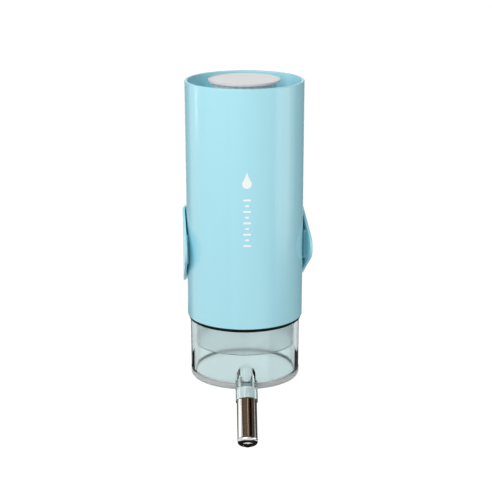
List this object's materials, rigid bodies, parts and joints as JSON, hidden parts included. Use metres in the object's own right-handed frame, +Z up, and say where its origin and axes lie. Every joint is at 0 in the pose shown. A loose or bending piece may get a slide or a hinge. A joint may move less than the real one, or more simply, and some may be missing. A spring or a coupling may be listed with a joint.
{
  "type": "small-animal water bottle",
  "caption": "Cylindrical hanging water bottle with a recessed top filler cap, clear base cup, slanted steel ball nozzle and a spring clip that clamps to cage wires.",
  "frame": {"origin": "centre of the clip's rubber cage face, on the clamp screw's axis", "axes": "+Y out of the cage face towards the cage, along the clamp screw; +Z up, along the bottle; the bottle's axis stands 45.5 mm in front of the face, at Y = -45.5 mm"},
  "size_m": [0.071, 0.1324, 0.1914],
  "materials": {
    "blue_plastic": "satin, moulded",
    "grip_rubber": "soft, matt",
    "white_plastic": "satin, moulded",
    "disc_plastic": "fine satin",
    "tank_plastic": "translucent",
    "clear_plastic": "clear, polished",
    "silicone": "translucent",
    "black_rubber": "matt",
    "steel": "polished stainless steel",
    "ball_steel": "polished stainless steel"
  },
  "bodies": {
    "holder": {"clip": "blue_plastic", "grip_pad_left": "grip_rubber", "grip_pad_right": "grip_rubber", "cage_pad": "grip_rubber", "clamp_screw": "white_plastic"},
    "bottle": {"outer_sleeve": "blue_plastic", "tank": "tank_plastic"},
    "cap_ring": {"filler_seal": "silicone"},
    "cap": {"filler_cap": "white_plastic", "cap_disc": "disc_plastic"},
    "cup_ring": {"cup_seal": "black_rubber"},
    "cup": {"base_cup": "clear_plastic", "nozzle_tube": "steel", "nozzle_seal": "silicone"},
    "tip_ball": {"front_ball": "ball_steel"},
    "back_ball": {"rear_ball": "ball_steel"},
    "clamp": {"clamp_plate": "blue_plastic", "plate_pad": "grip_rubber", "clamp_washer": "steel"},
    "knob": {"clamp_knob": "blue_plastic"}
  },
  "joints": [
    {"name": "bottle_turn", "type": "hinge", "parent": "holder", "child": "bottle", "pos_m": [0, -0.0455, 0], "axis": [0, 0, 1], "continuous": true},
    {"name": "cap_lift", "type": "slide", "parent": "bottle", "child": "cap_ring", "axis": [0, 0, 1], "range_m": [0, 0.00901]},
    {"name": "cap_turn", "type": "hinge", "parent": "cap_ring", "child": "cap", "pos_m": [0, -0.0455, 0.08], "axis": [0, 0, 1], "range_deg": [0, 810]},
    {"name": "cup_drop", "type": "slide", "parent": "bottle", "child": "cup_ring", "axis": [0, 0, -1], "range_m": [0, 0.01001]},
    {"name": "cup_turn", "type": "hinge", "parent": "cup_ring", "child": "cup", "pos_m": [0, -0.0455, -0.05], "axis": [0, 0, -1], "range_deg": [0, 900]},
    {"name": "tip_ball_travel", "type": "slide", "parent": "cup", "child": "tip_ball", "axis": [0.1057, 0.6992, 0.7071], "range_m": [0, 0.01]},
    {"name": "back_ball_travel", "type": "slide", "parent": "cup", "child": "back_ball", "axis": [0.1057, 0.6992, 0.7071], "range_m": [0, 0.01]},
    {"name": "plate_travel", "type": "slide", "parent": "holder", "child": "clamp", "axis": [0, 1, 0], "range_m": [-0.00451, 0.01201]},
    {"name": "knob_turn", "type": "hinge", "parent": "clamp", "child": "knob", "pos_m": [0, 0.0188, 0], "axis": [0, 1, 0], "range_deg": [-540, 1440]}
  ],
  "couplings": [
    {"joint": "cap_lift", "follows": "cap_turn", "m_per_rad": 0.00063662},
    {"joint": "cup_drop", "follows": "cup_turn", "m_per_rad": 0.00063662},
    {"joint": "plate_travel", "follows": "knob_turn", "m_per_rad": 0.00047746},
    {"joint": "back_ball_travel", "follows": "tip_ball_travel", "ratio": 1}
  ]
}
